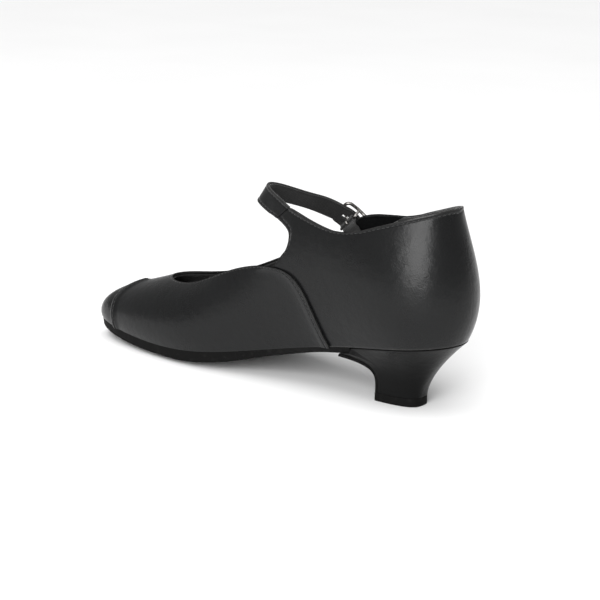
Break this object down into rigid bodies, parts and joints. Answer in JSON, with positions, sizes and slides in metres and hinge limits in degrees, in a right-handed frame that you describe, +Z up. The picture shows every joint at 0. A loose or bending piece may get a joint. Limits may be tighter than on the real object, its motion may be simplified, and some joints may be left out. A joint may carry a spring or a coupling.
{
  "type": "strap shoe",
  "caption": "Right-foot low-heeled shoe with an almond toe cap, waved vamp, an ankle strap that swings on its sewn end, and a small centre-bar buckle.",
  "frame": {"origin": "on the floor, under the middle of the shoe", "axes": "+X towards the toe, +Y towards the inner side of the foot, +Z up"},
  "size_m": [0.2388, 0.0716, 0.1042],
  "materials": {
    "upper_leather": "smooth semi-gloss black leather",
    "lining": "matt black textile",
    "sock": "matt black sock leather",
    "stiffener": "pressed fibre",
    "board": "cellulose insole board",
    "cork": "granulated cork",
    "sole_rubber": "matt black rubber",
    "heel_plastic": "moulded plastic",
    "steel": "plain steel",
    "nickel": "antique nickel",
    "webbing": "ribbed black elastic"
  },
  "bodies": {
    "shoe": {"toe_cap": "upper_leather", "vamp": "upper_leather", "quarter_inner": "upper_leather", "quarter_outer": "upper_leather", "toe_puff": "stiffener", "heel_counter": "stiffener", "vamp_lining": "lining", "quarter_lining_inner": "lining", "quarter_lining_outer": "lining", "outsole": "sole_rubber", "bottom_filler": "cork", "sock_liner": "sock", "heel_cover": "upper_leather", "breast_flap": "sole_rubber", "heel_screw": "steel", "heel_nail_1": "steel", "heel_nail_2": "steel", "heel_nail_3": "steel", "heel_nail_4": "steel", "top_piece_pin_1": "steel", "top_piece_pin_2": "steel", "heel_block": "heel_plastic", "top_piece": "sole_rubber", "insole_board": "board", "shank": "steel", "buckle_tab": "webbing"},
    "strap": {"strap": "upper_leather", "strap_lining": "lining"},
    "buckle": {"buckle_frame": "nickel"},
    "prong": {"buckle_prong": "nickel"}
  },
  "joints": [
    {"name": "strap_swing", "type": "hinge", "parent": "shoe", "child": "strap", "pos_m": [-0.01517, 0.02152, 0.09092], "axis": [-0.7455, -0.0303, 0.6658], "range_deg": [0, 104]},
    {"name": "buckle_rock", "type": "hinge", "parent": "shoe", "child": "buckle", "pos_m": [-0.02319, -0.02465, 0.07905], "axis": [0.7113, 0.018, -0.7027], "range_deg": [-3, 3]},
    {"name": "prong_lift", "type": "hinge", "parent": "buckle", "child": "prong", "pos_m": [-0.02319, -0.02465, 0.07905], "axis": [0.7113, 0.018, -0.7027], "range_deg": [0, 65]}
  ]
}
